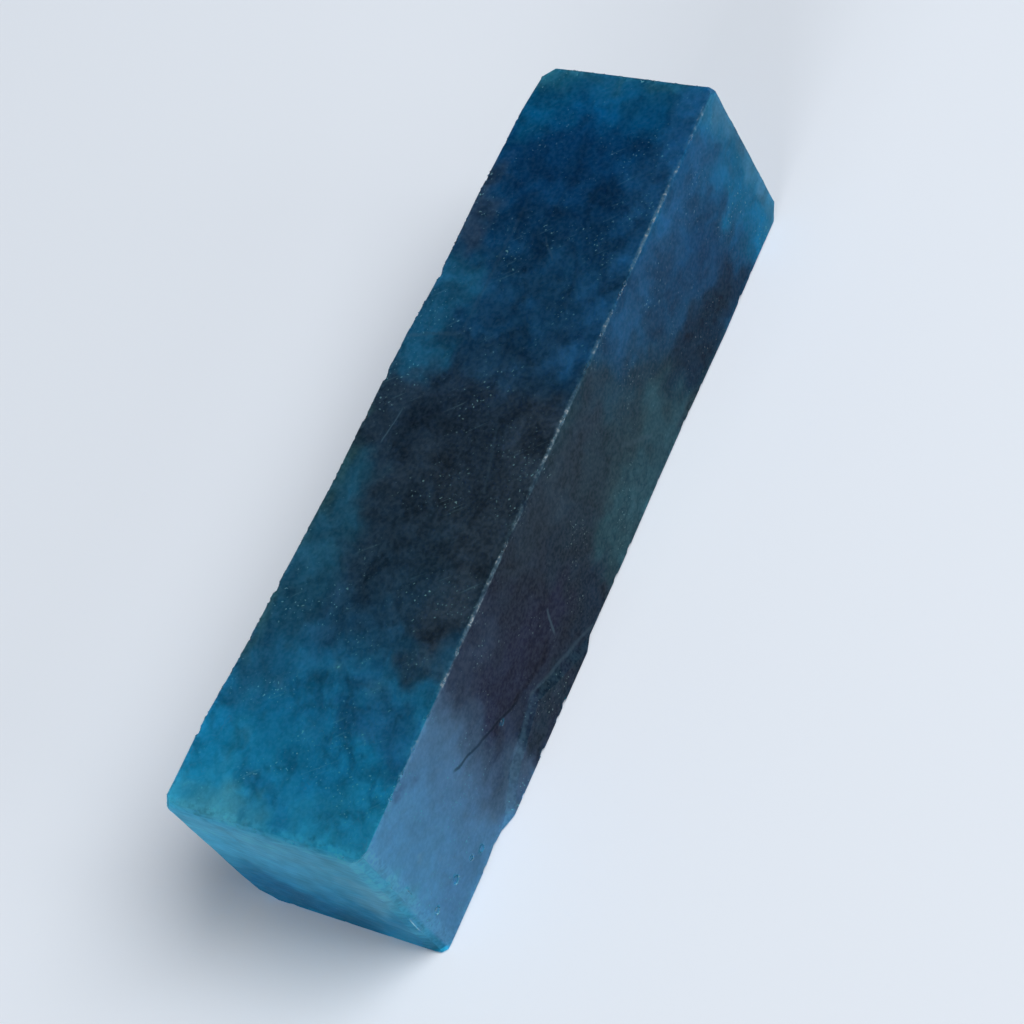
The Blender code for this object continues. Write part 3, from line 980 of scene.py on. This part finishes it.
bark = np.zeros((len(places), 3))
brush(bark, ragged, BARK_STROKE)
patches = noise_at(places, PATCH_SIZE)
wisp_share = soft_step(patches, *WISP_PATCH)
ridge_corners = [np.array(corner_of(("top", "spur_side", end))) / MM for end in ("rubbed_end", "sharp_end")]
ridge_share = soft_step(distance_from_line(places, *ridge_corners), RIDGE_REACH, RIDGE_REACH / 2)
ridge_share *= soft_step(places[:, 0], *RIDGE_STARTS) * soft_step(patches, *RIDGE_PATCH)
fleck_patches = soft_step(noise_at(places + FLECK_PATCH_SHIFT, FLECK_PATCH_SIZE), *FLECK_PATCH)
fleck_share = fleck_patches * (1 - FLECKS_LOST_ON_END * on_end) + crowds
cell_threads = CELL_THREADS * near_end * soft_step(places[:, 0], *CLEAR_OF_THE_END)
thread_share = np.maximum(bark[:, 0] * on_side, cell_threads)
shares = np.stack([thread_share, wisp_share, ridge_share, fleck_share], axis=1)
layer = bar.data.color_attributes.new("detail_shares", "FLOAT_COLOR", "POINT")
layer.data.foreach_set("color", shares.ravel())
print("mean shares of threads, wisps, ridge and flecks:", shares.mean(axis=0).round(3))

# %% [markdown]
# ## The fine detail
#
# The shader draws grain, wisps and flecks from the place of each spot inside the stone, in mm. Flecks
# and threads are node groups with named sockets, which a maker can use again in another stone.

# %% Helpers that lay out shader nodes
def put(tree, kind, feeds=(), **choices):
    """Add a node, make its choices, and feed its sockets with values or with other sockets."""
    node = tree.nodes.new("ShaderNode" + kind)
    for choice, value in choices.items():
        setattr(node, choice, value)
    feed_sockets(tree, node, dict(feeds))
    return node


def feed_sockets(tree, node, feeds):
    for socket, feed in feeds.items():
        if isinstance(feed, bpy.types.NodeSocket):
            tree.links.new(feed, node.inputs[socket])
        else:
            node.inputs[socket].default_value = feed


def sum_of(tree, operation, *values, clamp=False):
    return put(tree, "Math", enumerate(values), operation=operation, use_clamp=clamp).outputs[0]


def product(tree, *values):
    result = values[0]
    for value in values[1:]:
        result = sum_of(tree, "MULTIPLY", result, value)
    return result


def vector_sum(tree, operation, *vectors):
    node = put(tree, "VectorMath", enumerate(vectors), operation=operation)
    return node.outputs["Value" if operation in ("DOT_PRODUCT", "DISTANCE") else "Vector"]


def scaled(tree, vector, scale):
    return put(tree, "VectorMath", {0: vector, "Scale": scale}, operation="SCALE").outputs["Vector"]


def ease(tree, value, start, stop):
    """0 before start and 1 after stop, with a soft rise between. Start may lie above stop."""
    feeds = {"Value": value, "From Min": start, "From Max": stop}
    return put(tree, "MapRange", feeds, interpolation_type="SMOOTHSTEP").outputs["Result"]


def mix_colours(tree, share, under, over, blend="MIX"):
    node = put(tree, "Mix", {0: share, 6: under, 7: over}, data_type="RGBA", blend_type=blend)
    return node.outputs[2]


NOISE_ROUGHNESS = 0.6


def smooth_noise(tree, place, scale, octaves):
    """Soft swells from 0 to 1, so many to each unit of place. Each octave adds finer ones."""
    feeds = {"Vector": place, "Scale": scale, "Detail": octaves - 1.0, "Roughness": NOISE_ROUGHNESS}
    return put(tree, "TexNoise", feeds).outputs["Fac"]


def new_effect(name, inputs, outputs):
    """A node group with named sockets: a row is a name, a kind of socket and, for an input, its value."""
    tree = bpy.data.node_groups.new(name, "ShaderNodeTree")
    for title, kind, value in inputs:
        socket = tree.interface.new_socket(name=title, in_out="INPUT", socket_type="NodeSocket" + kind)
        socket.default_value = value
    for title, kind in outputs:
        tree.interface.new_socket(name=title, in_out="OUTPUT", socket_type="NodeSocket" + kind)
    return tree, tree.nodes.new("NodeGroupInput").outputs, tree.nodes.new("NodeGroupOutput").inputs


def use_effect(tree, effect, feeds):
    node = tree.nodes.new("ShaderNodeGroup")
    node.node_tree = effect
    feed_sockets(tree, node, feeds)
    return node.outputs


# %% Effect: flecks, which stretch into hairlines where their size is long one way
FLECK_EDGE = 0.07
flecks, fed, gives = new_effect(
    "flecks",
    (("Place", "Vector", (0, 0, 0)), ("Turn", "Vector", (0, 0, 0)), ("Size", "Vector", (1, 1, 1)),
     ("Rarity", "Float", 0.7)),
    (("Amount", "Float"),))
turned = put(flecks, "VectorRotate", {"Vector": fed["Place"], "Rotation": fed["Turn"]},
             rotation_type="EULER_XYZ").outputs["Vector"]
in_sizes = vector_sum(flecks, "DIVIDE", turned, fed["Size"])
peaks = smooth_noise(flecks, in_sizes, scale=1.0, octaves=1)
full = sum_of(flecks, "ADD", fed["Rarity"], FLECK_EDGE)
flecks.links.new(ease(flecks, peaks, fed["Rarity"], full), gives["Amount"])

# %% Effect: threads, thin lines that wander between soft blobs: output, border between blobs, width
THREADS = (("Thick", 0.52, 0.045), ("Fine", 0.44, 0.014))
threads, fed, gives = new_effect(
    "threads",
    (("Place", "Vector", (0, 0, 0)), ("Size", "Float", 3.0)),
    (("Thick", "Float"), ("Fine", "Float")))
blobs_per_mm = sum_of(threads, "DIVIDE", 1.0, fed["Size"])
blobs = smooth_noise(threads, fed["Place"], blobs_per_mm, octaves=2)
for output, border, width in THREADS:
    from_border = sum_of(threads, "ABSOLUTE", sum_of(threads, "SUBTRACT", blobs, border))
    threads.links.new(ease(threads, from_border, width, 0.0), gives[output])
print("effects:", [tree.name for tree in bpy.data.node_groups])

# %% [markdown]
# ## Cloudy beryl
#
# Light goes into this stone and comes out changed, so its material is mostly glass: it bends light as
# beryl does, and swallows red on the way. Its ground skin is matt, so nothing is seen sharply through
# it. The part that isn't glass stands for the milky veils that scatter light back.

# %% The material, and what it reads from the points
beryl = bpy.data.materials.new("cloudy beryl")
beryl.use_nodes = True
stone = beryl.node_tree
skin = stone.nodes["Principled BSDF"]
place = scaled(stone, put(stone, "TexCoord").outputs["Object"], 1000.0)
colour = put(stone, "Attribute", attribute_name="stone_colour").outputs["Color"]
edge_distance = put(stone, "Attribute", attribute_name="edge_distance").outputs["Fac"]
shares = put(stone, "Attribute", attribute_name="detail_shares").outputs
fleck_share = shares["Alpha"]
thread_share, wisp_share, ridge_share = put(stone, "SeparateXYZ", {0: shares["Vector"]}).outputs
vein = put(stone, "SeparateXYZ", {0: put(stone, "Attribute", attribute_name="vein_map").outputs["Vector"]})
across_vein, vein_darkness, vein_paleness = vein.outputs

# %% Grain, drawn out into saw streaks on the rubbed end: it lightens and darkens all three channels alike
GRAIN_PER_MM = 1.9
GRAIN_DEPTH = 0.06
GRAIN_RANGE = (0.35, 0.65)
CALM_IN_THE_BRIGHT = 0.65
STREAK_STRETCH = 0.75
facing_x = put(stone, "SeparateXYZ", {0: put(stone, "TexCoord").outputs["Normal"]}).outputs["X"]
squeeze = sum_of(stone, "SUBTRACT", 1.0, product(stone, ease(stone, facing_x, *END_BEGINS), STREAK_STRETCH))
grain_place = put(stone, "CombineXYZ", {"X": 1.0, "Y": squeeze, "Z": 1.0}).outputs["Vector"]
grain_place = vector_sum(stone, "MULTIPLY", place, grain_place)
grain = smooth_noise(stone, grain_place, GRAIN_PER_MM, octaves=2)
swing = put(stone, "MapRange", {
    "Value": grain, "From Min": GRAIN_RANGE[0], "From Max": GRAIN_RANGE[1],
    "To Min": -GRAIN_DEPTH, "To Max": GRAIN_DEPTH})
blueness = put(stone, "SeparateXYZ", {0: colour}).outputs["Z"]
calm = sum_of(stone, "SUBTRACT", 1.0, product(stone, blueness, CALM_IN_THE_BRIGHT))
grain_light = product(stone, swing.outputs["Result"], calm)
colour = vector_sum(stone, "ADD", colour, grain_light)
colour = vector_sum(stone, "MAXIMUM", colour, (0, 0, 0))

# %% Dark threads, bark-like low on the spur side, and milky wisps
DARK_THREAD = (0.6, 0.74, 0.78, 1)
DARK_THREAD_SHOWS = 0.6
THREAD_SIZE = 1.8
WISP = paint(110, 150, 176)
WISP_SHOWS = 0.22
lines = use_effect(stone, threads, {"Place": place, "Size": THREAD_SIZE})
on_thread = product(stone, lines["Thick"], thread_share, DARK_THREAD_SHOWS)
darkened = mix_colours(stone, 1.0, colour, DARK_THREAD, "MULTIPLY")
colour = mix_colours(stone, on_thread, colour, darkened)
on_wisp = product(stone, lines["Fine"], wisp_share, WISP_SHOWS)
colour = mix_colours(stone, on_wisp, colour, WISP)

# %% Flecks and hairlines: turn, size in mm, rarity and strength of each kind
FLECK_IN_SMOKE = paint(225, 225, 225)
FLECK_IN_BLUE = paint(96, 240, 250)
CROWDING = 0.07
FLECKS = (
    ((0.4, 0.2, 0.9), (0.3, 0.3, 0.3), 0.8, 1.0),
    ((0.1, 0.0, 0.9), (7.0, 0.4, 0.4), 0.8, 0.25),
)
fleck_colour = mix_colours(stone, blueness, FLECK_IN_SMOKE, FLECK_IN_BLUE)
for turn, size, rarity, strength in FLECKS:
    rarity = sum_of(stone, "SUBTRACT", rarity, product(stone, fleck_share, CROWDING))
    seen = use_effect(stone, flecks, {"Place": place, "Turn": turn, "Size": size, "Rarity": rarity})["Amount"]
    shown = sum_of(stone, "MULTIPLY", seen, product(stone, fleck_share, strength), clamp=True)
    colour = mix_colours(stone, shown, colour, fleck_colour)

# %% Veins and cracks, and the painted highlight on the spur's rim
CRACK = paint(0, 10, 28)
HEALED_AND_HIGHLIGHT = paint(104, 140, 160)
VEIN_CORE = 0.2
on_vein = ease(stone, sum_of(stone, "ABSOLUTE", across_vein), 1.0, VEIN_CORE)
colour = mix_colours(stone, product(stone, on_vein, vein_darkness), colour, CRACK)
colour = mix_colours(stone, product(stone, on_vein, vein_paleness), colour, HEALED_AND_HIGHLIGHT)

# %% Worn edges, and the ridge that catches the light
RUBBED = paint(150, 190, 210)
WORN_SHEEN = (0.03, 0.06, 0.06, 1)
SPARK = paint(245, 250, 250)
WORN_REACH = 0.6
WORN_GRAIN = (0.3, 0.6)
RIDGE_WIDTH = 0.26
RIDGE_SHOWS = 0.4
BEADS_ADD = 0.4
BEAD_GRAIN = (0.35, 0.6)
SPARK_GRAIN = (0.58, 0.66)
worn = product(stone, ease(stone, edge_distance, WORN_REACH, 0.0), ease(stone, grain, *WORN_GRAIN))
colour = mix_colours(stone, worn, colour, WORN_SHEEN, "ADD")
ridge = product(stone, ease(stone, edge_distance, RIDGE_WIDTH, 0.0), ridge_share)
beads = product(stone, ease(stone, grain, *BEAD_GRAIN), BEADS_ADD)
beads = sum_of(stone, "ADD", RIDGE_SHOWS, beads)
colour = mix_colours(stone, product(stone, ridge, beads), colour, RUBBED)
sparks = product(stone, ridge, ease(stone, grain, *SPARK_GRAIN))
colour = mix_colours(stone, sparks, colour, SPARK)
pigment = put(stone, "Gamma", {"Color": colour, "Gamma": SCREEN_GAMMA}).outputs["Color"]
stone.links.new(pigment, skin.inputs["Base Color"])

# %% The skin's own numbers, its fine relief, and what the stone swallows
MATT = 0.72
BERYL_BENDING = 1.577
GLASSINESS = 0.75
SKIN_SHEEN = (0.02, 0.02, 0.02, 1)
RED_SWALLOWED = (0.05, 0.6, 0.75, 1)
SWALLOWED_PER_METRE = 70
RELIEF = 0.06 * MM
skin.inputs["Roughness"].default_value = MATT
skin.inputs["IOR"].default_value = BERYL_BENDING
skin.inputs["Specular Tint"].default_value = SKIN_SHEEN
skin.inputs["Transmission Weight"].default_value = GLASSINESS
relief = put(stone, "Bump", {"Height": grain, "Distance": RELIEF, "Strength": 1.0}).outputs["Normal"]
stone.links.new(relief, skin.inputs["Normal"])
swallow = put(stone, "VolumeAbsorption", {"Color": RED_SWALLOWED, "Density": SWALLOWED_PER_METRE})
stone.links.new(swallow.outputs["Volume"], stone.nodes["Material Output"].inputs["Volume"])
bar.data.materials.append(beryl)
print("cloudy beryl has", len(stone.nodes), "nodes")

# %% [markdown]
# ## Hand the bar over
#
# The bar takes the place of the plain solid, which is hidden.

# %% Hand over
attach(bar, "root")
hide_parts(CAD_NODE)
